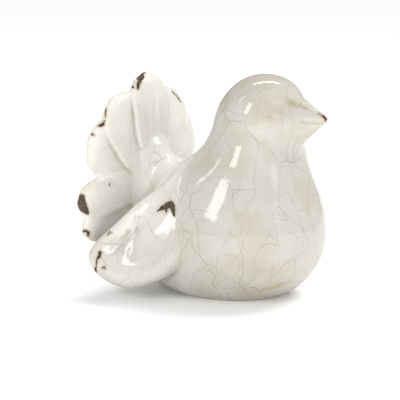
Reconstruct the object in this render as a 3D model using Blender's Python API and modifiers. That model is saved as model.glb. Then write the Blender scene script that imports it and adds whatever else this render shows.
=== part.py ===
"""A glazed pottery dove with an upright fan tail, cast in one piece and standing on a flat foot.

Metres, +Z up, +X forward along the beak, +Y to the bird's left. The origin is on the surface that
the bird stands on, inside its foot and under the widest slice of the breast. Each form is a sphere
reshaped by stations along its length; the forms overlap, and are fused and softened as wet clay is.
"""

import math

import bmesh
import bpy
from mathutils import Vector

# The bird's height drives the figure. Its proportions are in parts, each a share of the height.
BIRD_HEIGHT = 0.0940
HEIGHT_IN_PARTS = 94
PART = BIRD_HEIGHT / HEIGHT_IN_PARTS

# How thick the tail feathers and the wings are, and how deep the wings' flutes are.
FEATHER_THICKNESS = 0.0085
WING_THICKNESS = 0.0112
FLUTE_DEPTH = 0.0012

# The trunk in level slices: height, middle forward of the foot, half length, half width.
TRUNK_STATIONS = (
    (-5.7, -2.0, 0.0, 0.0),
    (-3.2, -2.0, 17.0, 13.0),
    (4.2, -2.4, 33.4, 27.4),
    (15.5, -0.2, 39.8, 34.0),
    (28.3, 1.6, 40.9, 35.0),
    (40.5, 1.8, 38.0, 32.6),
    (51.3, 4.0, 31.6, 27.6),
    (60.7, 9.9, 23.4, 22.0),
    (69.0, 12.8, 20.1, 19.5),
    (77.0, 14.2, 19.2, 18.8),
    (85.0, 15.6, 16.4, 16.1),
    (91.4, 16.3, 9.9, 9.8),
    (94.0, 16.3, 0.0, 0.0),
)

# The beak in upright slices: forward of the foot, middle height, half height, half width.
BEAK_STATIONS = (
    (14.0, 75.0, 0.0, 0.0),
    (20.0, 75.0, 12.0, 11.0),
    (29.5, 75.0, 11.8, 10.8),
    (32.5, 75.0, 10.6, 9.2),
    (35.0, 75.1, 9.2, 7.6),
    (38.0, 75.4, 7.2, 5.8),
    (41.0, 75.9, 5.0, 4.4),
    (44.2, 76.5, 3.2, 3.0),
    (46.9, 76.9, 1.9, 1.8),
    (47.9, 77.0, 0.0, 0.0),
)

# The fan tail: feathers that spread from a root on the rump, shingled from the middle one out.
FAN_ROOT_FORWARD = -42.5
FAN_ROOT_HEIGHT = 45.0
FEATHERS = (  # degrees from upright, length, half width, backward lean, lap, height of its rib
    (0, 46.5, 12.0, 6.8, 2.8, 1.3),
    (33, 43.6, 12.6, 6.4, 1.4, 0.0),
    (60, 42.8, 12.8, 6.0, 0.0, 0.0),
    (98, 47.8, 8.4, 3.1, -1.4, 0.0),
    (114, 47.6, 8.6, 1.7, -2.8, 0.0),
)
FEATHER_STATIONS = (  # share of the length, share of the half width, share of the thickness
    (0.00, 0.00, 0.00),
    (0.08, 0.50, 0.50),
    (0.35, 0.90, 0.95),
    (0.60, 0.98, 1.05),
    (0.78, 1.00, 1.00),
    (0.91, 0.77, 0.80),
    (1.00, 0.00, 0.00),
)

# A feather's front is a spoon: a full rim round a hollow, in shares of the feather's own sizes.
RIM_FULLNESS = 0.6
SPOON_DEPTH = 0.56
SPOON_MIDDLE = 0.58
SPOON_REACH = 0.36
SPOON_WIDTH = 0.90
RIB_WIDTH = 0.28
BACK_SHARE = 0.6

# The back flares into the fan as a trumpet, in upright slices as the beak's.
FLARE_STATIONS = (
    (-6.0, 40.0, 0.0, 0.0),
    (-11.0, 40.0, 12.0, 15.0),
    (-20.0, 41.0, 12.5, 15.0),
    (-29.0, 42.0, 12.5, 11.5),
    (-35.0, 43.5, 15.0, 10.0),
    (-40.0, 45.5, 20.0, 12.5),
    (-43.5, 46.5, 25.0, 17.0),
    (-45.0, 46.5, 0.0, 0.0),
)

# The rump under the flare, an egg: middle and half sizes.
RUMP_MIDDLE = (-22.0, 0.0, 36.0)
RUMP_HALVES = (14.0, 20.0, 16.0)

# A wing from its top, on the neck, to its tip beside the foot.
WING_TOP = (-8.0, 17.0, 59.0)
WING_TIP = (-37.0, 42.5, 7.5)
WING_FACING = (0.24, 1.0, 0.40)
WING_STATIONS = (  # share of the length, middle towards the breast, half width, share thick
    (0.00, 0.0, 0.0, 0.00),
    (0.10, 4.0, 7.0, 0.70),
    (0.25, 10.5, 13.0, 1.30),
    (0.45, 9.5, 16.0, 1.38),
    (0.68, 7.0, 16.8, 1.20),
    (0.84, 3.0, 15.0, 1.10),
    (0.95, 0.0, 10.5, 0.85),
    (1.00, -1.5, 0.0, 0.00),
)
WING_FULLNESS = 0.5
WING_BACK_SHARE = 0.7
WING_EDGE = (  # height, share of the half width, and reach: the rear rim, and a trough inside it
    (1.5, -0.84, 0.14),
    (-1.5, -0.50, 0.22),
)
FLUTES = (  # from and to, each along the wing and across it, and the width at either end
    ((41.0, -1.5), (52.0, -0.5), 1.7, 2.7),
    ((38.0, 1.5), (47.0, 6.0), 1.7, 2.9),
)

# The clay is fused on a fine grid, softened, and thinned to faces that still hold the form.
BODY_GRID = 1.20
BODY_SOFTENING = 25
GRID = 0.90
SOFTENING = 8
TRIANGLES = 9400

GLAZE_COLOUR = (0.80, 0.775, 0.72, 1.0)
GLAZE_ROUGHNESS = 0.12


def clear_scene():
    for old in list(bpy.data.objects):
        bpy.data.objects.remove(old, do_unlink=True)


def over_the_pole(station):
    """A station carried over the pole at an end, so that the form closes round."""
    place, middle, *halves = station
    return (place, middle, *[-half for half in halves])


def blend(stations, place):
    """The smooth curve through the stations, at a place counted in stations."""
    first = min(int(place), len(stations) - 2)
    t = place - first
    before = stations[first - 1] if first > 0 else over_the_pole(stations[1])
    after = stations[first + 2] if first + 2 < len(stations) else over_the_pole(stations[-2])
    return [
        0.5 * (2 * p1 + (p2 - p0) * t + (2 * p0 - 5 * p1 + 4 * p2 - p3) * t * t
               + (3 * p1 - p0 - 3 * p2 + p3) * t ** 3)
        for p0, p1, p2, p3 in zip(before, stations[first], stations[first + 1], after)
    ]


def add_form(clay, stations, shape, rings=64, sides=72):
    """A sphere whose rings take the stations. shape turns a station's values into a point."""
    made = bmesh.ops.create_uvsphere(clay, u_segments=sides, v_segments=rings, radius=1.0)
    for vertex in made["verts"]:
        polar = math.acos(max(-1.0, min(1.0, -vertex.co.z)))
        around = math.atan2(vertex.co.y, vertex.co.x)
        place = polar / math.pi * (len(stations) - 1)
        point = shape(blend(stations, place), math.cos(around), math.sin(around))
        vertex.co = point * PART


def add_rump(clay):
    made = bmesh.ops.create_uvsphere(clay, u_segments=72, v_segments=48, radius=1.0)
    for vertex in made["verts"]:
        vertex.co = (Vector(RUMP_MIDDLE) + Vector(RUMP_HALVES) * vertex.co) * PART


def add_trunk(clay):
    def slice_point(values, forward, sideways):
        height, middle, half_length, half_width = values
        return Vector((middle + half_length * forward, half_width * sideways, height))

    add_form(clay, TRUNK_STATIONS, slice_point)


def add_upright_slices(clay, stations):
    """A form that runs along the bird, such as its beak."""
    def slice_point(values, upward, sideways):
        forward, height, half_height, half_width = values
        return Vector((forward, half_width * sideways, height + half_height * upward))

    add_form(clay, stations, slice_point)


def feather_front(share, sideways, forward, half_thickness, rib):
    """How far a feather's front stands out from its middle plane."""
    along = max(0.0, 1 - ((share - SPOON_MIDDLE) / SPOON_REACH) ** 2)
    across = max(0.0, 1 - (sideways / SPOON_WIDTH) ** 4)
    ridge = rib * along * math.exp(-(sideways / RIB_WIDTH) ** 2)
    return half_thickness * (forward ** RIM_FULLNESS - SPOON_DEPTH * along * across) + ridge


def add_feather(clay, angle, length, half_width, lean, lap, rib):
    """One feather of the fan, at an angle from upright round the root."""
    outward = Vector((0, math.sin(angle), math.cos(angle)))
    across = Vector((0, math.cos(angle), -math.sin(angle)))
    root = Vector((FAN_ROOT_FORWARD, 0, FAN_ROOT_HEIGHT))

    def slice_point(values, sideways, forward):
        share, width_share, thickness_share = values
        half_thickness = thickness_share * FEATHER_THICKNESS / PART / 2
        if forward > 0:
            lift = feather_front(share, sideways, forward, half_thickness, rib)
        else:
            lift = half_thickness * forward * BACK_SHARE
        return (
            root
            + outward * (length * share)
            + across * (half_width * width_share * sideways)
            + Vector((lift + lap - lean * share, 0, 0))
        )

    add_form(clay, FEATHER_STATIONS, slice_point, rings=40, sides=64)


def add_fan(clay):
    for angle, *shape in FEATHERS:
        for side in (1, -1) if angle else (1,):
            add_feather(clay, side * math.radians(angle), *shape)


def flute_share(along, across):
    """How deep the wing's surface is hollowed at a place on it, as a share of the flutes' depth."""
    depth = 0.0
    for start, end, narrow, wide in FLUTES:
        start, way = Vector(start), Vector(end) - Vector(start)
        place = Vector((along, across)) - start
        share = max(0.0, min(1.0, place.dot(way) / way.length_squared))
        width = narrow + (wide - narrow) * share
        depth += math.exp(-((place - way * share).length / width) ** 2)
    return depth


def add_wing(clay, side):
    top = Vector(WING_TOP)
    along = Vector(WING_TIP) - top
    facing = Vector(WING_FACING)
    across = along.cross(facing).normalized()
    outward = across.cross(along).normalized()

    def slice_point(values, sideways, lifted):
        share, middle, half_width, thickness_share = values
        half_thickness = thickness_share * WING_THICKNESS / PART / 2
        forward = middle + half_width * sideways
        if lifted > 0:
            lift = half_thickness * lifted ** WING_FULLNESS
            for height, beside, reach in WING_EDGE:
                swell = math.exp(-((sideways - beside) / reach) ** 2)
                lift += height * share * math.sin(math.pi * share) * swell
            lift -= flute_share(along.length * share, forward) * FLUTE_DEPTH / PART
        else:
            lift = half_thickness * lifted * WING_BACK_SHARE
        point = top + along * share + across * forward + outward * lift
        return Vector((point.x, point.y * side, point.z))

    add_form(clay, WING_STATIONS, slice_point, rings=72, sides=96)


def fused(clay, grid, softening):
    """The clay's overlapping forms as one skin, with its creases softened."""
    bmesh.ops.recalc_face_normals(clay, faces=clay.faces)
    mesh = bpy.data.meshes.new("clay")
    clay.to_mesh(mesh)
    clay.free()
    lump = bpy.data.objects.new("clay", mesh)
    bpy.context.scene.collection.objects.link(lump)
    fuse = lump.modifiers.new("Fuse", "REMESH")
    fuse.mode = "VOXEL"
    fuse.voxel_size = grid * PART
    soften = lump.modifiers.new("Soften", "SMOOTH")
    soften.factor = 0.5
    soften.iterations = softening
    skin = bpy.data.meshes.new_from_object(
        lump.evaluated_get(bpy.context.evaluated_depsgraph_get())
    )
    bpy.data.objects.remove(lump, do_unlink=True)
    bpy.data.meshes.remove(mesh)
    return skin


def model_body():
    """The trunk, face, rump and flare, which run into each other without a crease."""
    body = bmesh.new()
    add_trunk(body)
    add_upright_slices(body, BEAK_STATIONS)
    add_upright_slices(body, FLARE_STATIONS)
    add_rump(body)
    return fused(body, BODY_GRID, BODY_SOFTENING)


def model_bird():
    """The whole skin: the feathers and wings pressed on the body, and thinned."""
    clay = bmesh.new()
    clay.from_mesh(model_body())
    add_fan(clay)
    for side in (1, -1):
        add_wing(clay, side)
    skin = fused(clay, GRID, SOFTENING)
    bird = bpy.data.objects.new("bird", skin)
    thin = bird.modifiers.new("Thin", "DECIMATE")
    thin.ratio = TRIANGLES / sum(len(face.vertices) - 2 for face in skin.polygons)
    return bird


def model_foot_cutter():
    """A block whose top is the ground."""
    form = bmesh.new()
    bmesh.ops.create_cube(form, size=2 * BIRD_HEIGHT)
    bmesh.ops.translate(form, verts=form.verts, vec=(0, 0, -BIRD_HEIGHT))
    mesh = bpy.data.meshes.new("foot_cutter")
    form.to_mesh(mesh)
    form.free()
    cutter = bpy.data.objects.new("foot_cutter", mesh)
    cutter.hide_render = True
    cutter.display_type = "WIRE"
    return cutter


def make_glaze():
    glaze = bpy.data.materials.new("cream crackle glaze")
    glaze.use_nodes = True
    shader = glaze.node_tree.nodes["Principled BSDF"]
    shader.inputs["Base Color"].default_value = GLAZE_COLOUR
    shader.inputs["Roughness"].default_value = GLAZE_ROUGHNESS
    shader.inputs["Metallic"].default_value = 0.0
    return glaze


def new_collection(name):
    collection = bpy.data.collections.new(name)
    bpy.context.scene.collection.children.link(collection)
    return collection


def build():
    clear_scene()
    bird = model_bird()
    cutter = model_foot_cutter()
    new_collection("bird statue").objects.link(bird)
    new_collection("cutters").objects.link(cutter)
    foot = bird.modifiers.new("Foot", "BOOLEAN")
    foot.operation = "DIFFERENCE"
    foot.solver = "EXACT"
    foot.object = cutter
    bird.data.materials.append(make_glaze())
    bird.data.shade_smooth()


build()
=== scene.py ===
"""A pottery dove with a fan tail, dressed in its worn cream crackle glaze on a pale studio floor.

The figure is one casting, so it is one piece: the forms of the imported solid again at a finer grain,
with the chips cut through the glaze. Figure sizes are in parts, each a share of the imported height.
"""

import math

import bmesh
import bpy
import numpy as np
from mathutils import Matrix, Vector, noise
from mathutils.bvhtree import BVHTree


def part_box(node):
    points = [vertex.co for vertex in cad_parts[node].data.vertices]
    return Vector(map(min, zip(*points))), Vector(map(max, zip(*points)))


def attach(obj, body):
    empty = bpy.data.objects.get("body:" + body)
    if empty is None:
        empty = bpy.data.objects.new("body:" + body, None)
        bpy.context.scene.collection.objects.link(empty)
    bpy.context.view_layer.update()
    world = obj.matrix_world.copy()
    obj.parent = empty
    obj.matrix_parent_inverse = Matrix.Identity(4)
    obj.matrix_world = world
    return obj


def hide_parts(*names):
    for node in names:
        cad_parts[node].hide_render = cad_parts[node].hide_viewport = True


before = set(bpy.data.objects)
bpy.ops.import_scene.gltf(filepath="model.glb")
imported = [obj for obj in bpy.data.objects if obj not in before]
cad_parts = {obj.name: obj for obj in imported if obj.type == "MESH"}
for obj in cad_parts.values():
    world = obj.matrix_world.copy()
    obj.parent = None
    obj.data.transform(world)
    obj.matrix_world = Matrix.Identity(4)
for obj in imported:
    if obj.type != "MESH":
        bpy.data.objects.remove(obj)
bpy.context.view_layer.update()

bl_info = {
    "name": "Crackle glazed dove",
    "version": (1, 0, 0),
    "blender": (4, 5, 0),
    "location": "View3D > Sidebar > Dove",
    "description": "Models a worn crackle glazed pottery dove over its packed solid",
    "category": "Add Mesh",
}

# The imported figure's height in parts: a little under its 94 parts, as the crown is softened.
SOFTENED_CROWN = 93.718
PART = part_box("bird")[1][2] / SOFTENED_CROWN

# The trunk in level slices: height, middle forward of the foot, half length, half width.
TRUNK_STATIONS = (
    (-5.7, -2.0, 0.0, 0.0),
    (-3.2, -2.0, 17.0, 13.0),
    (4.2, -2.4, 33.4, 27.4),
    (15.5, -0.2, 39.8, 34.0),
    (28.3, 1.6, 40.9, 35.0),
    (40.5, 1.8, 38.0, 32.6),
    (51.3, 4.0, 31.6, 27.6),
    (60.7, 9.9, 23.4, 22.0),
    (69.0, 12.8, 20.1, 19.5),
    (77.0, 14.2, 19.2, 18.8),
    (85.0, 15.6, 16.4, 16.1),
    (91.4, 16.3, 9.9, 9.8),
    (94.0, 16.3, 0.0, 0.0),
)

# The beak in upright slices: forward of the foot, middle height, half height, half width.
BEAK_STATIONS = (
    (14.0, 75.0, 0.0, 0.0),
    (20.0, 75.0, 12.0, 11.0),
    (29.5, 75.0, 11.8, 10.8),
    (32.5, 75.0, 10.6, 9.2),
    (35.0, 75.1, 9.2, 7.6),
    (38.0, 75.4, 7.2, 5.8),
    (41.0, 75.9, 5.0, 4.4),
    (44.2, 76.5, 3.2, 3.0),
    (46.9, 76.9, 1.9, 1.8),
    (47.9, 77.0, 0.0, 0.0),
)

# The fan tail: feathers that spread from a root on the rump and lean back.
FAN_ROOT = (-42.5, 45.0)
FEATHERS = (  # degrees from upright, length, half width, backward lean, lap, height of its rib
    (0, 46.5, 12.0, 6.8, 2.8, 1.3),
    (33, 43.6, 12.6, 6.4, 1.4, 0.0),
    (60, 42.8, 12.8, 6.0, 0.0, 0.0),
    (98, 47.8, 8.4, 3.1, -1.4, 0.0),
    (114, 47.6, 8.6, 1.7, -2.8, 0.0),
)
FEATHER_STATIONS = (  # share of the length, share of the half width, share of the thickness
    (0.00, 0.00, 0.00),
    (0.08, 0.50, 0.50),
    (0.35, 0.90, 0.95),
    (0.60, 0.98, 1.05),
    (0.78, 1.00, 1.00),
    (0.91, 0.77, 0.80),
    (1.00, 0.00, 0.00),
)

# A feather's front is a spoon: full rims round a hollow that runs along its middle.
RIM_FULLNESS = 0.6
SPOON_DEPTH = 0.56
SPOON_MIDDLE = 0.58
SPOON_REACH = 0.36
SPOON_WIDTH = 0.90
RIB_WIDTH = 0.28
BACK_SHARE = 0.6

# The back flares into the fan as a trumpet, in upright slices as the beak's.
FLARE_STATIONS = (
    (-6.0, 40.0, 0.0, 0.0),
    (-11.0, 40.0, 12.0, 15.0),
    (-20.0, 41.0, 12.5, 15.0),
    (-29.0, 42.0, 12.5, 11.5),
    (-35.0, 43.5, 15.0, 10.0),
    (-40.0, 45.5, 20.0, 12.5),
    (-43.5, 46.5, 25.0, 17.0),
    (-45.0, 46.5, 0.0, 0.0),
)

# The rump under the flare, an egg: middle and half sizes.
RUMP_MIDDLE = (-22.0, 0.0, 36.0)
RUMP_HALVES = (14.0, 20.0, 16.0)

# A wing from its top, on the neck, to its tip beside the foot.
WING_TOP = (-8.0, 17.0, 59.0)
WING_TIP = (-37.0, 42.5, 7.5)
WING_FACING = (0.24, 1.0, 0.40)
WING_STATIONS = (  # share of the length, middle towards the breast, half width, share thick
    (0.00, 0.0, 0.0, 0.00),
    (0.10, 4.0, 7.0, 0.70),
    (0.25, 10.5, 13.0, 1.30),
    (0.45, 9.5, 16.0, 1.38),
    (0.68, 7.0, 16.8, 1.20),
    (0.84, 3.0, 15.0, 1.10),
    (0.95, 0.0, 10.5, 0.85),
    (1.00, -1.5, 0.0, 0.00),
)
WING_FULLNESS = 0.5
WING_BACK_SHARE = 0.7
WING_EDGE = (  # height, share of the half width, and reach: the rear rim, and a trough inside it
    (1.5, -0.84, 0.14),
    (-1.5, -0.50, 0.22),
)
FLUTES = (  # from and to, each along the wing and across it, and the width at either end
    ((41.0, -1.5), (52.0, -0.5), 1.7, 2.7),
    ((38.0, 1.5), (47.0, 6.0), 1.7, 2.9),
)

# Camera: the photograph's angle, square frame, and the size of a frame of 400 pixels.
CAMERA_AZIMUTH = 35.0
CAMERA_ELEVATION = 10.0
CAMERA_DISTANCE = 0.70
FRAME_PIXELS = 400
METRES_PER_PIXEL = 0.00043
FOOT_PIXEL = (232.0, 289.3)
SENSOR = 36.0

# Marks, each a stroke over the figure as the camera sees it: across, down and half width, in pixels of
# the frame. CHIPS are worn through to the clay, SPOTS are marks in the glaze, the tan marks are stains
# and, at the brow, partly painted shade in the hollow before the beak, and CLOUDS are wide patches of
# yellower glaze.
CHIPS = {
    "crest rim": ((143.5, 73.0, 1.6), (138.0, 77.0, 2.6), (133.2, 81.2, 2.3), (129.6, 86.6, 2.2)),
    "crest inside": ((142.4, 76.0, 2.0), (140.0, 80.5, 2.3), (138.4, 84.5, 1.9), (137.8, 88.4, 1.2)),
    "crest bridge": ((132.0, 82.6, 1.3), (138.5, 83.2, 1.3)),
    "crest foot": ((130.0, 86.4, 1.6), (133.4, 87.4, 1.0)),
    "far feather edge": ((172.5, 91.5, 0.6), (176.8, 95.9, 0.9), (180.6, 101.6, 0.6)),
    "notch above": ((105.8, 108.7, 0.6), (105.4, 117.0, 0.8)),
    "notch": ((104.5, 120.5, 0.8), (102.8, 124.0, 1.6), (100.2, 125.6, 1.6), (98.2, 126.2, 0.8)),
    "feather ring": ((92.4, 134.1, 1.2), (93.4, 134.8, 0.8)),
    "lower feather end": (
        (81.7, 196.8, 2.8), (81.6, 203.0, 4.3), (83.6, 208.0, 4.2), (87.4, 212.6, 2.2),
    ),
    "lowest feather": (
        (83.2, 231.8, 1.0), (86.0, 230.6, 1.2), (88.6, 232.4, 1.3), (88.4, 235.6, 1.0),
    ),
    "shoulder left": ((158.0, 210.6, 0.9), (162.0, 208.2, 2.3), (166.5, 205.8, 3.4)),
    "shoulder right": (
        (166.5, 205.8, 3.4), (171.0, 204.4, 3.4), (173.0, 209.0, 2.6), (174.2, 215.4, 0.9),
    ),
    "shoulder drip": ((167.0, 208.0, 1.8), (166.2, 211.2, 0.9)),
    "wing tip": (
        (99.8, 252.8, 1.8), (99.4, 256.0, 1.7), (97.0, 259.0, 0.8), (96.4, 266.0, 0.7),
        (95.5, 270.8, 1.7), (96.4, 274.2, 0.7),
    ),
    "wing tip arc": ((102.2, 268.4, 0.6), (103.8, 266.9, 0.7), (105.8, 268.7, 0.5)),
    "beak tip": ((318.7, 113.3, 0.8), (323.6, 116.4, 1.2), (326.3, 120.4, 1.2)),
}
SPOTS = {
    "feather spot": ((109.4, 184.4, 1.8), (109.6, 186.0, 1.2)),
    "lower edge stain": ((109.4, 232.6, 2.2), (108.0, 234.6, 1.4)),
    "lower edge line": ((100.0, 237.4, 0.6), (107.0, 235.2, 0.7), (113.4, 232.5, 0.6)),
    "feather dot": ((125.0, 124.3, 0.6), (125.4, 124.5, 0.6)),
    "wing dot": ((171.0, 266.4, 0.8), (171.4, 266.6, 0.8)),
    "head dot": ((258.8, 128.5, 0.7), (259.2, 128.6, 0.7)),
}
STAINS_AND_SHADE = {
    "foot": ((252.0, 292.5, 2.0), (268.0, 288.5, 4.5), (282.0, 284.5, 6.0), (294.0, 280.5, 4.0)),
    # Partly a tan stain and partly painted shade in the hollow between brow and beak.
    "brow stain and shade": ((289.0, 101.0, 5.0), (298.0, 104.5, 6.5), (306.0, 108.5, 4.0)),
    "eye": ((262.0, 117.0, 2.5), (272.0, 117.6, 3.5)),
    "beak underside": ((304.0, 125.0, 2.5), (322.0, 124.4, 2.5)),
}
CLOUDS = {
    "face": ((258.0, 112.0, 17.0), (290.0, 106.0, 13.0)),
    "throat": ((262.0, 140.0, 8.0), (270.0, 158.0, 8.0)),
    "low breast": ((232.0, 262.0, 14.0), (282.0, 270.0, 12.0)),
}

# Low relief of the face: a stroke along the beak, and the pixel and reach of each eye and of the nub.
MOUTH = ((301.0, 121.2, 0.3), (311.0, 121.9, 1.0), (324.5, 122.7, 1.0))
MOUTH_REACH = 0.0003
EYE = (281.0, 111.0)
EYE_REACH = 0.0034
NUB = (309.0, 104.0)
NUB_REACH = 0.0009

# The skin is divided this far past chips and mouth, in two rounds. It stays flat near the ground,
# and elsewhere the hand's waver has this grain.
DIVIDED_REACHES = (0.0007, 0.0004)
FOOT_RIM = 0.001
HAND_GRAIN = 0.012

# How the marks end: how far in from its border a stain, the painted shade at the brow, or a cloud is
# at full strength, how near the border a mark is frayed, and the height and grain of the fraying. Past
# FARTHEST_MARK nothing shows.
STAIN_AND_SHADE_SOFTNESS = 0.0026
CLOUD_SOFTNESS = 0.005
FRAYED_REACH = 0.0012
FRAYING = ((0.00030, 0.0011), (0.00016, 0.0004))
FARTHEST_MARK = 0.003
HOLLOW_ROUNDS = 12
MILLIMETRES = 1000

# A pixel beside the figure marks the place that lies nearest to its ray. The ray is searched over
# this stretch of it, as shares of the way to the frame's plane, in this many places.
SEARCH_STRETCH = (0.9, 1.1)
SEARCH_PLACES = 81

# Where the glaze changes, in metres forward of the foot and above the ground: the crackle fades out
# towards the fan, and from the breast back the glaze is painted whiter, less so on the wings, as
# painted light for the light the fan catches.
CRACKLE_FADES = (-0.040, -0.032)
PAINTED_LIGHT_ON_FAN = (-0.030, 0.004)
WINGS_END = (0.020, 0.040)

# How often the glaze's random patterns turn over in a metre, and the heights of its fine relief.
WAVERS_PER_METRE = 80.0
FADINGS_PER_METRE = 45.0
TINTS_PER_METRE = 60.0
DAPPLES_PER_METRE = 350.0
RIPPLES_PER_METRE = 260.0
GRAINS_PER_METRE = 1500.0
GRITS_PER_METRE = 2600.0
RIPPLE_HEIGHT = 0.00006
CLAY_GRAIN_HEIGHT = 0.0006

# Studio lights: both ends of each as directions right, up and back of the camera, its width, its
# brightness against the white surround, and how far off it is. GLINTS show in the glaze alone, and
# FILLS don't show in it.
LIGHTS = {
    "key": ((-0.54, 0.49, 0.69), (-0.69, 0.14, 0.71), 0.20, 8.0, 1.0),
    "overhead": ((-0.30, 0.94, -0.16), (0.38, 0.88, -0.28), 0.14, 7.0, 1.0),
}
GLINTS = {
    "head left": ((-0.82, 0.53, 0.20), (-0.60, 0.76, 0.24), 0.09, 5.0, 1.0),
    "front right": ((0.62, 0.34, 0.70), (0.56, 0.15, 0.81), 0.15, 2.2, 1.0),
    "upper right": ((0.72, 0.66, 0.20), (0.76, 0.64, -0.20), 0.16, 8.0, 1.0),
}
FILLS = {
    "camera fill": ((0.0, 0.28, 0.96), (0.0, -0.18, 0.98), 0.60, 4.1, 1.0),
    "right fill": ((0.80, 0.35, 0.48), (0.80, 0.05, 0.60), 0.50, 6.0, 1.0),
    "left fill": ((-0.80, 0.40, 0.45), (-0.80, 0.10, 0.55), 0.40, 2.6, 1.0),
    "low fill": ((-0.75, -0.02, 0.65), (0.10, -0.12, 0.98), 0.30, 1.3, 1.0),
}
TOP_LIGHT = (0.48, 0.80, -0.36)


def over_the_pole(station):
    """A station carried over the pole at an end, so that the form closes round."""
    place, middle, *halves = station
    return (place, middle, *[-half for half in halves])


def blend(stations, place):
    """The smooth curve through the stations, at a place counted in stations."""
    first = min(int(place), len(stations) - 2)
    t = place - first
    before = stations[first - 1] if first > 0 else over_the_pole(stations[1])
    after = stations[first + 2] if first + 2 < len(stations) else over_the_pole(stations[-2])
    return [
        0.5 * (2 * p1 + (p2 - p0) * t + (2 * p0 - 5 * p1 + 4 * p2 - p3) * t * t
               + (3 * p1 - p0 - 3 * p2 + p3) * t ** 3)
        for p0, p1, p2, p3 in zip(before, stations[first], stations[first + 1], after)
    ]


def add_form(clay, stations, shape, rings, sides):
    """A sphere whose rings take the stations. shape turns a station's values into a point."""
    made = bmesh.ops.create_uvsphere(clay, u_segments=sides, v_segments=rings, radius=1.0)
    for vertex in made["verts"]:
        polar = math.acos(max(-1.0, min(1.0, -vertex.co.z)))
        around = math.atan2(vertex.co.y, vertex.co.x)
        place = polar / math.pi * (len(stations) - 1)
        point = shape(blend(stations, place), math.cos(around), math.sin(around))
        vertex.co = point * PART


def add_rump(clay):
    """The egg that fills the corner between the back and the flare."""
    made = bmesh.ops.create_uvsphere(clay, u_segments=96, v_segments=64, radius=1.0)
    for vertex in made["verts"]:
        vertex.co = (Vector(RUMP_MIDDLE) + Vector(RUMP_HALVES) * vertex.co) * PART


def add_trunk(clay):
    """Foot, belly, breast, neck and head as one turned form."""
    def slice_point(values, forward, sideways):
        height, middle, half_length, half_width = values
        return Vector((middle + half_length * forward, half_width * sideways, height))

    add_form(clay, TRUNK_STATIONS, slice_point, rings=150, sides=200)


def add_upright_slices(clay, stations):
    """A form that runs along the bird, such as its beak."""
    def slice_point(values, upward, sideways):
        forward, height, half_height, half_width = values
        return Vector((forward, half_width * sideways, height + half_height * upward))

    add_form(clay, stations, slice_point, rings=96, sides=96)


def feather_front(share, sideways, forward, half_thickness, rib):
    """How far a feather's front stands out from its middle plane."""
    along = max(0.0, 1 - ((share - SPOON_MIDDLE) / SPOON_REACH) ** 2)
    across = max(0.0, 1 - (sideways / SPOON_WIDTH) ** 4)
    ridge = rib * along * math.exp(-(sideways / RIB_WIDTH) ** 2)
    return half_thickness * (forward ** RIM_FULLNESS - SPOON_DEPTH * along * across) + ridge


def add_feather(clay, angle, length, half_width, lean, lap, rib, thick):
    """One feather of the fan, at an angle from upright round the root."""
    outward = Vector((0, math.sin(angle), math.cos(angle)))
    across = Vector((0, math.cos(angle), -math.sin(angle)))
    root = Vector((FAN_ROOT[0], 0, FAN_ROOT[1]))

    def slice_point(values, sideways, forward):
        share, width_share, thickness_share = values
        half_thickness = thickness_share * thick / 2
        if forward > 0:
            lift = feather_front(share, sideways, forward, half_thickness, rib)
        else:
            lift = half_thickness * forward * BACK_SHARE
        return (
            root
            + outward * (length * share)
            + across * (half_width * width_share * sideways)
            + Vector((lift + lap - lean * share, 0, 0))
        )

    add_form(clay, FEATHER_STATIONS, slice_point, rings=72, sides=96)


def add_fan(clay, thick):
    """The feather in the middle, and the others on both sides of it."""
    for angle, *shape in FEATHERS:
        for side in (1, -1) if angle else (1,):
            add_feather(clay, side * math.radians(angle), *shape, thick)


def flute_depth(along, across):
    """How deep the wing's surface is hollowed, from 0 to 1."""
    depth = 0.0
    for start, end, narrow, wide in FLUTES:
        start, way = Vector(start), Vector(end) - Vector(start)
        place = Vector((along, across)) - start
        share = max(0.0, min(1.0, place.dot(way) / way.length_squared))
        width = narrow + (wide - narrow) * share
        depth += math.exp(-((place - way * share).length / width) ** 2)
    return depth


def add_wing(clay, side, thick, flute):
    """A wing at one side, 1 or -1, with its rim, its trough and its flutes."""
    top = Vector(WING_TOP)
    along = Vector(WING_TIP) - top
    facing = Vector(WING_FACING)
    across = along.cross(facing).normalized()
    outward = across.cross(along).normalized()

    def slice_point(values, sideways, lifted):
        share, middle, half_width, thickness_share = values
        if lifted > 0:
            lift = thickness_share * thick / 2 * lifted ** WING_FULLNESS
            for height, beside, reach in WING_EDGE:
                swell = math.exp(-((sideways - beside) / reach) ** 2)
                lift += height * share * math.sin(math.pi * share) * swell
            lift -= flute_depth(along.length * share, middle + half_width * sideways) * flute
        else:
            lift = thickness_share * thick / 2 * lifted * WING_BACK_SHARE
        point = (
            top
            + along * share
            + across * (middle + half_width * sideways)
            + outward * lift
        )
        return Vector((point.x, point.y * side, point.z))

    add_form(clay, WING_STATIONS, slice_point, rings=112, sides=144)


def fused(clay, grid, softening):
    """The clay's overlapping forms as one skin, with its creases softened."""
    bmesh.ops.recalc_face_normals(clay, faces=clay.faces)
    mesh = bpy.data.meshes.new("clay")
    clay.to_mesh(mesh)
    clay.free()
    lump = bpy.data.objects.new("clay", mesh)
    bpy.context.scene.collection.objects.link(lump)
    fuse = lump.modifiers.new("Fuse", "REMESH")
    fuse.mode = "VOXEL"
    fuse.voxel_size = grid
    soften = lump.modifiers.new("Soften", "SMOOTH")
    soften.factor = 0.5
    soften.iterations = softening
    skin = bpy.data.meshes.new_from_object(
        lump.evaluated_get(bpy.context.evaluated_depsgraph_get())
    )
    bpy.data.objects.remove(lump, do_unlink=True)
    bpy.data.meshes.remove(mesh)
    return skin


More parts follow.
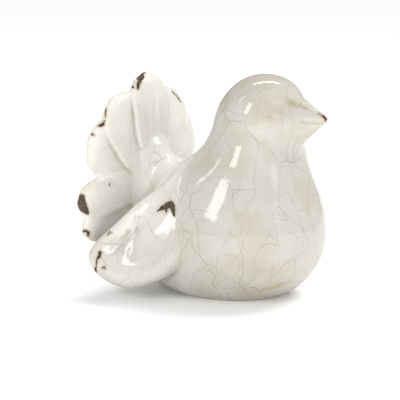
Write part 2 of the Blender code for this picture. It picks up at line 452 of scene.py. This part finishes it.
def model_skin(sizes):
    """The whole figure as one skin: first the body alone, then with the fan and the wings."""
    body = bmesh.new()
    add_trunk(body)
    add_upright_slices(body, BEAK_STATIONS)
    add_upright_slices(body, FLARE_STATIONS)
    add_rump(body)
    clay = bmesh.new()
    clay.from_mesh(fused(body, sizes.body_grid, sizes.body_softening))
    add_fan(clay, sizes.feather_thickness / PART)
    for side in (1, -1):
        add_wing(clay, side, sizes.wing_thickness / PART, sizes.flute_depth / PART)
    return fused(clay, sizes.grid, sizes.softening)


def stand_on_foot(skin):
    """The skin cut flat at the ground and closed there."""
    cut = bmesh.ops.bisect_plane(
        skin,
        geom=skin.verts[:] + skin.edges[:] + skin.faces[:],
        plane_co=(0, 0, 0),
        plane_no=(0, 0, 1),
        clear_inner=True,
    )
    rim = [item for item in cut["geom_cut"] if isinstance(item, bmesh.types.BMEdge)]
    bmesh.ops.holes_fill(skin, edges=rim, sides=0)


def tone(red, green, blue):
    """A colour as a screen shows it, 0 to 255, in linear light."""
    return tuple(
        share / 12.92 if share <= 0.04045 else ((share + 0.055) / 1.055) ** 2.4
        for share in (red / 255, green / 255, blue / 255)
    )


def camera_axes():
    """Right, up and back of the camera."""
    azimuth = math.radians(CAMERA_AZIMUTH)
    elevation = math.radians(CAMERA_ELEVATION)
    right = Vector((math.cos(azimuth), math.sin(azimuth), 0))
    back = Vector((
        math.sin(azimuth) * math.cos(elevation),
        -math.cos(azimuth) * math.cos(elevation),
        math.sin(elevation),
    ))
    return right, back.cross(right), back


def on_frame(across, down):
    """The point of the frame's plane, through the foot's origin, at a pixel."""
    right, up, back = camera_axes()
    return (right * (across - FOOT_PIXEL[0]) + up * (FOOT_PIXEL[1] - down)) * METRES_PER_PIXEL


def seen_at(tree, across, down):
    """The surface that the camera sees at a pixel, or the nearest to it where the ray just misses."""
    target = on_frame(FRAME_PIXELS / 2, FRAME_PIXELS / 2)
    eye = target + camera_axes()[2] * CAMERA_DISTANCE
    way = on_frame(across, down) - eye
    hit = tree.ray_cast(eye, way.normalized())[0]
    if hit is not None:
        return hit
    shares = np.linspace(*SEARCH_STRETCH, SEARCH_PLACES)
    beside = [tree.find_nearest(eye + way * share) for share in shares]
    return min(beside, key=lambda near: near[3])[0]


def stroke_depths(tree, strokes, places):
    """How far each place is inside the nearest stroke, negative outside it, in metres."""
    inside = np.full(len(places), -1.0)
    for stroke in strokes:
        points = [(seen_at(tree, across, down), half) for across, down, half in stroke]
        for (start, start_half), (end, end_half) in zip(points, points[1:]):
            way = np.array(end - start)
            share = (places - np.array(start)) @ way / max(way @ way, 1e-12)
            share = np.clip(share, 0, 1)
            distance = np.linalg.norm(places - np.array(start) - share[:, None] * way, axis=1)
            half = start_half + (end_half - start_half) * share
            inside = np.maximum(inside, half * METRES_PER_PIXEL - distance)
    return inside


def positions(skin):
    """The places of the skin's corners."""
    return np.array([vertex.co[:] for vertex in skin.verts])


def turbulence(places, grain):
    """A smooth random number for each place, about -1 to 1, that turns over at the grain's size."""
    return np.array([noise.noise(Vector(place) / grain) for place in places])


def ragged(inside, places):
    """Depths in strokes with their borders broken up as chipped glaze is."""
    near = np.abs(inside) < FRAYED_REACH
    frayed = inside.copy()
    for height, grain in FRAYING:
        frayed[near] += height * turbulence(places[near], grain)
    return frayed


def worn(tree, places):
    """How far each place is inside the nearest chip."""
    return ragged(stroke_depths(tree, CHIPS.values(), places), places)


def divide_near(skin, near):
    """Quarters the faces where near is true of all corners, and evens out the new corners."""
    skin.verts.ensure_lookup_table()
    edges = [edge for edge in skin.edges if all(near[end.index] for end in edge.verts)]
    made = bmesh.ops.subdivide_edges(skin, edges=edges, cuts=1, use_grid_fill=True)
    fresh = [item for item in made["geom_inner"] if isinstance(item, bmesh.types.BMVert)]
    bmesh.ops.smooth_vert(
        skin, verts=fresh, factor=0.5, use_axis_x=True, use_axis_y=True, use_axis_z=True
    )
    skin.verts.index_update()
    skin.normal_update()


def face_places(places):
    """Places with the far half of the figure folded onto the near half."""
    return np.column_stack((places[:, 0], -np.abs(places[:, 1]), places[:, 2]))


def carve(skin, sizes):
    """Cuts the fine relief: chips, the line along the beak, the nub, eyes and the hand's waver.

    Returns the skin's tree from before, on which every mark finds its place.
    """
    tree = BVHTree.FromBMesh(skin)
    for reach in DIVIDED_REACHES:
        places = positions(skin)
        mouth = stroke_depths(tree, (MOUTH,), face_places(places))
        divide_near(skin, (worn(tree, places) > -reach) | (mouth > -reach))
    places = positions(skin)
    chips = worn(tree, places)
    folded = face_places(places)
    mouth = stroke_depths(tree, (MOUTH,), folded)
    eye = np.linalg.norm(folded - np.array(seen_at(tree, *EYE)), axis=1)
    nub = np.linalg.norm(folded - np.array(seen_at(tree, *NUB)), axis=1)
    rise = sizes.hand_waver * turbulence(places, HAND_GRAIN)
    rise -= sizes.chip_depth * np.clip(chips / sizes.chip_bevel, 0, 1)
    rise -= sizes.mouth_depth * np.exp(-(np.maximum(0, -mouth) / MOUTH_REACH) ** 2)
    rise -= sizes.eye_depth * np.exp(-(eye / EYE_REACH) ** 2)
    rise += sizes.nub_height * np.exp(-(nub / NUB_REACH) ** 2)
    rise[places[:, 2] < FOOT_RIM] = 0
    for vertex, height in zip(skin.verts, rise):
        vertex.co += vertex.normal * float(height)
    return tree


def hollowness(skin, rounds):
    """How far each corner lies under its neighbourhood's mean: above 0 in creases, under 0 on rims."""
    places = positions(skin)
    ends = np.array([[vertex.index for vertex in edge.verts] for edge in skin.edges])
    count = np.bincount(ends.ravel(), minlength=len(places))[:, None]
    smooth = places.copy()
    for _ in range(rounds):
        total = np.zeros_like(smooth)
        for axis in range(3):
            total[:, axis] = np.bincount(ends[:, 0], smooth[ends[:, 1], axis], len(places))
            total[:, axis] += np.bincount(ends[:, 1], smooth[ends[:, 0], axis], len(places))
        smooth = 0.5 * smooth + 0.5 * total / count
    normals = np.array([vertex.normal[:] for vertex in skin.verts])
    return ((smooth - places) * normals).sum(axis=1)


def keep(mesh, name, values):
    """Stores a value, or a vector, for each corner of the mesh for its material."""
    values = np.asarray(values, dtype=np.float32)
    if values.ndim == 1:
        mesh.attributes.new(name, "FLOAT", "POINT").data.foreach_set("value", values)
    else:
        mesh.attributes.new(name, "FLOAT_VECTOR", "POINT").data.foreach_set("vector", values.ravel())


def keep_marks(mesh, skin, tree):
    """Stores where the glaze pools, is worn, spotted, stained or painted with shade at the brow, and
    clouded, depths in millimetres.
    """
    places = positions(skin)
    spots, stains_and_shade, clouds = [
        stroke_depths(tree, marks.values(), places) for marks in (SPOTS, STAINS_AND_SHADE, CLOUDS)
    ]
    keep(mesh, "facing", [vertex.normal[:] for vertex in skin.verts])
    keep(mesh, "hollow", hollowness(skin, HOLLOW_ROUNDS) * MILLIMETRES)
    keep(mesh, "wear", np.maximum(worn(tree, places), -FARTHEST_MARK) * MILLIMETRES)
    keep(mesh, "spot", np.maximum(spots, -FARTHEST_MARK) * MILLIMETRES)
    keep(mesh, "stain_and_shade", np.clip(ragged(stains_and_shade, places) / STAIN_AND_SHADE_SOFTNESS, 0, 1))
    keep(mesh, "cloud", np.clip(clouds / CLOUD_SOFTNESS, 0, 1))


class Graph:
    """A material's nodes, written as sums."""

    def __init__(self, name):
        self.material = bpy.data.materials.new(name)
        self.material.use_nodes = True
        self.tree = self.material.node_tree
        self.shader = self.tree.nodes["Principled BSDF"]

    def node(self, kind, inputs=(), **settings):
        made = self.tree.nodes.new(kind)
        for setting, value in settings.items():
            setattr(made, setting, value)
        for socket, value in dict(inputs).items():
            self.feed(made.inputs[socket], value)
        return made

    def feed(self, socket, value):
        if isinstance(value, bpy.types.NodeSocket):
            self.tree.links.new(value, socket)
        else:
            socket.default_value = value

    def attribute(self, name):
        return self.node("ShaderNodeAttribute", attribute_name=name)

    def math(self, operation, *values):
        inputs = dict(enumerate(values))
        return self.node("ShaderNodeMath", inputs, operation=operation).outputs[0]

    def vector(self, operation, *values):
        made = self.node("ShaderNodeVectorMath", dict(enumerate(values)), operation=operation)
        return made.outputs["Value" if operation in {"DOT_PRODUCT", "LENGTH"} else "Vector"]

    def step(self, value, low, high, start=0.0, end=1.0):
        """A smooth step of the value from start, at low, to end, at high."""
        inputs = {
            "Value": value, "From Min": low, "From Max": high, "To Min": start, "To Max": end,
        }
        return self.node("ShaderNodeMapRange", inputs, interpolation_type="SMOOTHSTEP").outputs[0]

    def scaled(self, value, factor):
        """The value times a factor."""
        return self.math("MULTIPLY", value, factor)

    def mix(self, factor, under, over):
        made = self.node("ShaderNodeMix", data_type="RGBA")
        for socket, value in (("Factor_Float", factor), ("A_Color", under), ("B_Color", over)):
            self.feed(next(item for item in made.inputs if item.identifier == socket), value)
        return next(item for item in made.outputs if item.identifier == "Result_Color")

    def noise(self, place, per_metre, detail=2.0):
        inputs = {"Vector": place, "Scale": per_metre, "Detail": detail}
        return self.node("ShaderNodeTexNoise", inputs)


def crackle(graph, place, stretch, facing, width):
    """Lines of even width between the cells of a 3-D pattern, and each line's own random share."""
    spread = graph.vector("MULTIPLY", place, stretch)
    first = graph.node("ShaderNodeTexVoronoi", {"Vector": spread, "Scale": 1.0}, feature="F1")
    second = graph.node("ShaderNodeTexVoronoi", {"Vector": spread, "Scale": 1.0}, feature="F2")
    ends = first.outputs["Position"], second.outputs["Position"]
    across = graph.vector("NORMALIZE", graph.vector("SUBTRACT", ends[1], ends[0]))
    wall = graph.vector("MULTIPLY", graph.vector("ADD", *ends), (0.5, 0.5, 0.5))
    depth = graph.vector("DOT_PRODUCT", graph.vector("SUBTRACT", spread, wall), across)
    slope = graph.vector("MULTIPLY", across, stretch)
    slant = graph.vector("LENGTH", graph.vector("CROSS_PRODUCT", slope, facing))
    distance = graph.math("DIVIDE", graph.math("ABSOLUTE", depth), slant)
    line = graph.step(distance, 0.35 * width, width, 1.0, 0.0)
    glow = graph.step(distance, 0.0, 4.0 * width, 1.0, 0.0)
    whole = graph.vector("SNAP", wall, (0.03, 0.03, 0.03))
    chance = graph.node("ShaderNodeTexWhiteNoise", {"Vector": whole}, noise_dimensions="3D")
    return line, glow, chance.outputs["Value"], first.outputs["Color"]


def separated(graph, place):
    """How far forward of the foot and how high each place is."""
    parts = graph.node("ShaderNodeSeparateXYZ", {"Vector": place}).outputs
    return parts["X"], parts["Z"]


def crackle_lines(graph, place, sizes):
    """Strength of the wide and the fine crackle's lines, the glow round them, and random cells."""
    facing = graph.attribute("facing").outputs["Vector"]
    forward = separated(graph, place)[0]
    waver = graph.noise(place, WAVERS_PER_METRE, 0.0).outputs["Color"]
    waver = graph.vector("SUBTRACT", waver, (0.5, 0.5, 0.5))
    bend = (sizes.line_waver,) * 3
    bent = graph.vector("ADD", place, graph.vector("MULTIPLY", waver, bend))
    wide, fine = 1 / sizes.cell, 1 / (sizes.cell * sizes.fine_cell)
    wide_line, wide_glow, wide_chance, wide_cell = crackle(
        graph, bent, (wide, wide, wide * sizes.cell_upright), facing, sizes.line
    )
    moved = graph.vector("ADD", bent, wide_cell)
    fine_line, fine_glow, fine_chance, fine_cell = crackle(
        graph, moved, (fine, fine, fine * 0.9), facing, sizes.line * 0.8
    )
    fading = graph.noise(place, FADINGS_PER_METRE).outputs["Fac"]
    visible = graph.step(fading, 0.38, 0.62, 0.35, 1.0)
    visible = graph.scaled(visible, graph.step(forward, *CRACKLE_FADES, 0.30, 1.0))
    strong = graph.scaled(visible, graph.step(wide_chance, 0.0, 0.6, 0.45, 0.95))
    weak = graph.scaled(visible, graph.step(fine_chance, 0.10, 0.8, 0.20, 0.85))
    line, glow = [
        graph.math("MAXIMUM", graph.scaled(wide_share, strong), graph.scaled(fine_share, weak))
        for wide_share, fine_share in ((wide_line, fine_line), (wide_glow, fine_glow))
    ]
    return line, glow, fine_cell


def glaze_colour(graph, place, line, glow, cell, sizes):
    """The glaze without its chips: clouded, painted whiter on the fan as painted light, pooled in
    creases, thin on rims.
    """
    forward, upward = separated(graph, place)
    split = graph.node("ShaderNodeSeparateColor", {"Color": cell}).outputs
    tint = graph.noise(place, TINTS_PER_METRE, 3.0).outputs["Fac"]
    colour = graph.mix(graph.step(split["Red"], 0.2, 0.9, 0.0, 0.4), sizes.glaze, sizes.glaze_cool)
    colour = graph.mix(graph.step(tint, 0.42, 0.66, 0.0, 0.75), colour, sizes.glaze_warm)
    # Painted light: the fan and the back behind the breast are painted whiter, less so low on the
    # wings.
    thick = graph.step(forward, *PAINTED_LIGHT_ON_FAN, 0.85, 0.0)
    thick = graph.scaled(thick, graph.step(upward, *WINGS_END, 0.45, 1.0))
    colour = graph.mix(thick, colour, sizes.glaze_painted_light)
    hollow = graph.attribute("hollow").outputs["Fac"]
    colour = graph.mix(graph.step(hollow, 0.03, 0.28, 0.0, 0.8), colour, sizes.pooled)
    colour = graph.mix(graph.step(hollow, -0.45, -0.10, 0.7, 0.0), colour, sizes.rim)
    clouded = graph.scaled(graph.attribute("cloud").outputs["Fac"], 0.45)
    colour = graph.mix(clouded, colour, sizes.pooled)
    # The tan marks: stains, and painted shade in the hollow at the brow.
    stain_and_shade = graph.attribute("stain_and_shade").outputs["Fac"]
    dapple = graph.noise(place, DAPPLES_PER_METRE, 4.0).outputs["Fac"]
    dapple = graph.step(dapple, 0.35, 0.62, 0.35, 1.0)
    colour = graph.mix(graph.scaled(stain_and_shade, dapple), colour, sizes.stain_and_shade)
    colour = graph.mix(graph.scaled(glow, 0.12), colour, sizes.crack)
    colour = graph.mix(graph.scaled(line, 0.55), colour, sizes.crack)
    spot = graph.attribute("spot").outputs["Fac"]
    return graph.mix(graph.step(spot, -0.25, 0.25, 0.0, 0.8), colour, sizes.spot)


def glaze_material(sizes):
    """Cream crackle glaze, painted whiter on the fan as painted light, tan where it pools or stains
    and as painted shade at the brow, and dark clay where it is chipped.
    """
    graph = Graph("cream crackle glaze")
    place = graph.node("ShaderNodeTexCoord").outputs["Object"]
    line, glow, cell = crackle_lines(graph, place, sizes)
    colour = glaze_colour(graph, place, line, glow, cell, sizes)

    wear = graph.attribute("wear").outputs["Fac"]
    grit = graph.noise(place, GRITS_PER_METRE, 3.0).outputs["Fac"]
    wear = graph.math("ADD", wear, graph.math("MULTIPLY_ADD", grit, 0.30, -0.15))
    fringe = graph.step(wear, -1.1, -0.05, 0.0, 0.75)
    colour = graph.mix(fringe, colour, sizes.fringe)
    chipped = graph.step(wear, -0.03, 0.06)
    grain = graph.noise(place, GRAINS_PER_METRE, 4.0).outputs["Fac"]
    clay = graph.mix(graph.step(grain, 0.35, 0.70), sizes.clay, sizes.clay_pale)
    colour = graph.mix(chipped, colour, clay)
    graph.feed(graph.shader.inputs["Base Color"], colour)

    roughness = graph.math("ADD", sizes.roughness, graph.scaled(line, 0.15))
    roughness = graph.math("MAXIMUM", roughness, graph.scaled(chipped, 0.85))
    graph.feed(graph.shader.inputs["Roughness"], roughness)

    height = graph.scaled(graph.noise(place, RIPPLES_PER_METRE).outputs["Fac"], RIPPLE_HEIGHT)
    pitted = graph.scaled(chipped, graph.scaled(grain, CLAY_GRAIN_HEIGHT))
    height = graph.math("ADD", height, pitted)
    bump = graph.node("ShaderNodeBump", {"Height": height, "Strength": 1.0, "Distance": 1.0})
    graph.feed(graph.shader.inputs["Normal"], bump.outputs["Normal"])
    return graph.material


def colour_property(name, description, *levels):
    """A colour, given as a screen shows it, 0 to 255."""
    return bpy.props.FloatVectorProperty(
        name=name, description=description, size=4, subtype="COLOR", min=0.0, max=1.0,
        default=(*tone(*levels), 1.0),
    )


class DoveFigure(bpy.types.PropertyGroup):
    """Sizes of the figure."""

    feather_thickness: bpy.props.FloatProperty(
        name="Feather thickness", description="Front to back through a tail feather's middle",
        default=0.0085, unit="LENGTH",
    )
    wing_thickness: bpy.props.FloatProperty(
        name="Wing thickness", description="Through the wing halfway down",
        default=0.0112, unit="LENGTH",
    )
    flute_depth: bpy.props.FloatProperty(
        name="Flute depth", description="How far the hollows on the wing go in",
        default=0.0012, unit="LENGTH",
    )
    body_grid: bpy.props.FloatProperty(
        name="Body grain", description="Cell size at which the trunk's forms are fused",
        default=0.0012, unit="LENGTH",
    )
    body_softening: bpy.props.IntProperty(
        name="Body softening", description="How often the fused trunk is smoothed",
        default=25,
    )
    grid: bpy.props.FloatProperty(
        name="Grain", description="Cell size at which the whole figure is fused",
        default=0.00078, unit="LENGTH",
    )
    softening: bpy.props.IntProperty(
        name="Softening", description="How often the whole figure is smoothed",
        default=8,
    )
    hand_waver: bpy.props.FloatProperty(
        name="Hand waver", description="How far the hand made surface strays from its form",
        default=0.00010, unit="LENGTH",
    )
    chip_depth: bpy.props.FloatProperty(
        name="Chip depth", description="How far a chip goes in under the glaze",
        default=0.00032, unit="LENGTH",
    )
    chip_bevel: bpy.props.FloatProperty(
        name="Chip bevel", description="How wide the slope at a chip's border is",
        default=0.00025, unit="LENGTH",
    )
    mouth_depth: bpy.props.FloatProperty(
        name="Mouth depth", description="How deep the line along the beak is",
        default=0.00055, unit="LENGTH",
    )
    eye_depth: bpy.props.FloatProperty(
        name="Eye depth", description="How deep the hollow at the eye is",
        default=0.00100, unit="LENGTH",
    )
    nub_height: bpy.props.FloatProperty(
        name="Nub height", description="How far the nub over the beak stands out",
        default=0.00065, unit="LENGTH",
    )


class DoveGlaze(bpy.types.PropertyGroup):
    """Colours and sizes of the glaze."""

    cell: bpy.props.FloatProperty(
        name="Crackle cell", description="Width of the wide crackle's cells",
        default=0.0150, unit="LENGTH",
    )
    fine_cell: bpy.props.FloatProperty(
        name="Fine cell share", description="The fine crackle's cells as a share of the wide ones",
        default=0.58, subtype="FACTOR",
    )
    cell_upright: bpy.props.FloatProperty(
        name="Upright share", description="Less than 1 makes the wide cells taller than wide",
        default=0.55, subtype="FACTOR",
    )
    line: bpy.props.FloatProperty(
        name="Crackle line", description="Half the width of a crackle line",
        default=0.00016, unit="LENGTH",
    )
    line_waver: bpy.props.FloatProperty(
        name="Line waver", description="How far the crackle lines stray from straight",
        default=0.0085, unit="LENGTH",
    )
    roughness: bpy.props.FloatProperty(
        name="Glaze roughness", description="Roughness of the whole glaze",
        default=0.07, subtype="FACTOR",
    )
    glaze: colour_property("Glaze", "The glaze's main colour", 180, 176, 168)
    glaze_cool: colour_property("Cool glaze", "Cells of greyer glaze", 178, 176, 170)
    glaze_warm: colour_property("Warm glaze", "Clouds of yellower glaze", 171, 165, 151)
    glaze_painted_light: colour_property("Glaze with painted light", "Glaze painted whiter on the fan as painted light", 215, 212, 205)
    pooled: colour_property("Pooled glaze", "Where the glaze lies thick in a crease", 165, 155, 138)
    rim: colour_property("Rim glaze", "Where the glaze runs thin over a rim", 190, 181, 161)
    stain_and_shade: colour_property("Stain and shade", "Tan stains and painted shade", 156, 142, 116)
    spot: colour_property("Spot", "Rusty spots in the glaze", 128, 98, 78)
    crack: colour_property("Crack", "The crackle's lines", 118, 112, 98)
    fringe: colour_property("Chip fringe", "Glaze round a chip", 168, 152, 126)
    clay: colour_property("Clay", "Clay bared by a chip", 48, 36, 30)
    clay_pale: colour_property("Pale clay", "Paler grains in the bared clay", 104, 90, 82)


class DOVE_OT_figure(bpy.types.Operator):
    """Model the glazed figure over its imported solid"""

    bl_idname = "dove.figure"
    bl_label = "Model the dove"

    def execute(self, context):
        sizes = context.scene.dove_figure
        skin = bmesh.new()
        skin.from_mesh(model_skin(sizes))
        stand_on_foot(skin)
        skin.normal_update()
        tree = carve(skin, sizes)
        bmesh.ops.triangulate(skin, faces=[face for face in skin.faces if len(face.verts) > 4])
        skin.normal_update()
        mesh = bpy.data.meshes.new("glazed_dove")
        skin.to_mesh(mesh)
        mesh.shade_smooth()
        keep_marks(mesh, skin, tree)
        skin.free()
        mesh.materials.append(glaze_material(context.scene.dove_glaze))
        dove = bpy.data.objects.new("glazed_dove", mesh)
        context.scene.collection.objects.link(dove)
        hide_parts("bird")
        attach(dove, "root")
        return {"FINISHED"}


def aim(thing, target):
    """Turns a light or the camera towards a point, upright."""
    thing.rotation_mode = "QUATERNION"
    thing.rotation_quaternion = (target - thing.location).to_track_quat("-Z", "Y")


def add_light(scene, name, middle, first, last, width, brightness, distance):
    """A light that spans two directions as seen from the middle of the figure."""
    axes = Matrix(camera_axes()).transposed()
    first, last = [axes @ Vector(end).normalized() * distance for end in (first, last)]
    away = ((first + last) / 2).normalized()
    along = first - last
    along = (along - away * along.dot(away)).normalized()
    lamp = bpy.data.lights.new(name, "AREA")
    lamp.shape = "RECTANGLE"
    lamp.size = width * distance
    lamp.size_y = (first - last).length
    lamp.energy = brightness * math.pi * lamp.size * lamp.size_y
    light = bpy.data.objects.new(name, lamp)
    turned = Matrix((along.cross(away), along, away)).transposed()
    light.matrix_world = Matrix.Translation(middle + (first + last) / 2) @ turned.to_4x4()
    scene.collection.objects.link(light)
    return light


def add_floor(scene, sizes):
    """The paper that the bird stands on."""
    form = bmesh.new()
    bmesh.ops.create_grid(form, x_segments=1, y_segments=1, size=sizes.floor_size)
    mesh = bpy.data.meshes.new("floor")
    form.to_mesh(mesh)
    form.free()
    floor = bpy.data.objects.new("floor", mesh)
    scene.collection.objects.link(floor)
    paper = Graph("white paper")
    paper.feed(paper.shader.inputs["Base Color"], sizes.floor)
    paper.feed(paper.shader.inputs["Roughness"], 1.0)
    mesh.materials.append(paper.material)


def add_surround(scene, sizes):
    """The even white light from all round."""
    world = bpy.data.worlds.new("studio")
    world.use_nodes = True
    surround = world.node_tree.nodes["Background"].inputs
    surround["Color"].default_value = (1, 1, 1, 1)
    surround["Strength"].default_value = sizes.surround
    scene.world = world


def add_top_light(scene, middle, sizes):
    """The soft light from above, which throws the bird's shadow."""
    sky = bpy.data.lights.new("soft top light", "SUN")
    sky.energy = sizes.top_light * math.pi
    sky.angle = sizes.top_spread
    top = bpy.data.objects.new("soft top light", sky)
    top.visible_glossy = False
    top.location = middle + Matrix(camera_axes()).transposed() @ Vector(TOP_LIGHT)
    aim(top, middle)
    scene.collection.objects.link(top)


def add_camera(scene):
    """The camera at the photograph's angle, with its frame centred as the photograph's."""
    target = on_frame(FRAME_PIXELS / 2, FRAME_PIXELS / 2)
    lens = bpy.data.cameras.new("camera")
    lens.sensor_width = SENSOR
    lens.lens = SENSOR * CAMERA_DISTANCE / METRES_PER_PIXEL / FRAME_PIXELS
    camera = bpy.data.objects.new("camera", lens)
    camera.location = target + camera_axes()[2] * CAMERA_DISTANCE
    aim(camera, target)
    scene.collection.objects.link(camera)
    scene.camera = camera


class DoveStage(bpy.types.PropertyGroup):
    """The floor and the surround."""

    floor_size: bpy.props.FloatProperty(
        name="Floor size", description="Half the side of the floor", default=3.0, unit="LENGTH",
    )
    floor: colour_property("Floor", "The floor's colour", 248, 248, 248)
    surround: bpy.props.FloatProperty(
        name="Surround", description="Brightness of the white surround", default=0.44,
    )
    top_light: bpy.props.FloatProperty(
        name="Top light", description="Brightness of the soft light from above", default=0.86,
    )
    top_spread: bpy.props.FloatProperty(
        name="Top spread", description="How wide the light from above is",
        default=math.radians(42), subtype="ANGLE",
    )


class DOVE_OT_stage(bpy.types.Operator):
    """Set the floor, the soft light and the camera"""

    bl_idname = "dove.stage"
    bl_label = "Set the stage"

    def execute(self, context):
        scene = context.scene
        sizes = scene.dove_stage
        scene.view_settings.view_transform = "Standard"
        add_floor(scene, sizes)
        add_surround(scene, sizes)
        low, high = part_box("bird")
        middle = (Vector(low) + Vector(high)) / 2
        for name, strip in LIGHTS.items():
            add_light(scene, name, middle, *strip)
        for name, strip in GLINTS.items():
            add_light(scene, name, middle, *strip).visible_diffuse = False
        for name, panel in FILLS.items():
            add_light(scene, name, middle, *panel).visible_glossy = False
        add_top_light(scene, middle, sizes)
        add_camera(scene)
        return {"FINISHED"}


class DOVE_PT_panel(bpy.types.Panel):
    """The dove's sizes and makers"""

    bl_label = "Dove"
    bl_idname = "DOVE_PT_panel"
    bl_space_type = "VIEW_3D"
    bl_region_type = "UI"
    bl_category = "Dove"

    def draw(self, context):
        scene = context.scene
        for sizes in (scene.dove_figure, scene.dove_glaze, scene.dove_stage):
            for name in sizes.bl_rna.properties.keys():
                if name not in {"rna_type", "name"}:
                    self.layout.prop(sizes, name)
        for maker in (DOVE_OT_figure, DOVE_OT_stage):
            self.layout.operator(maker.bl_idname)


CLASSES = (DoveFigure, DoveGlaze, DoveStage, DOVE_OT_figure, DOVE_OT_stage, DOVE_PT_panel)


def register():
    for item in CLASSES:
        bpy.utils.register_class(item)
    bpy.types.Scene.dove_figure = bpy.props.PointerProperty(type=DoveFigure)
    bpy.types.Scene.dove_glaze = bpy.props.PointerProperty(type=DoveGlaze)
    bpy.types.Scene.dove_stage = bpy.props.PointerProperty(type=DoveStage)


def unregister():
    del bpy.types.Scene.dove_figure
    del bpy.types.Scene.dove_glaze
    del bpy.types.Scene.dove_stage
    for item in reversed(CLASSES):
        bpy.utils.unregister_class(item)


def main():
    register()
    bpy.ops.dove.figure()
    bpy.ops.dove.stage()


if __name__ == "__main__":
    main()
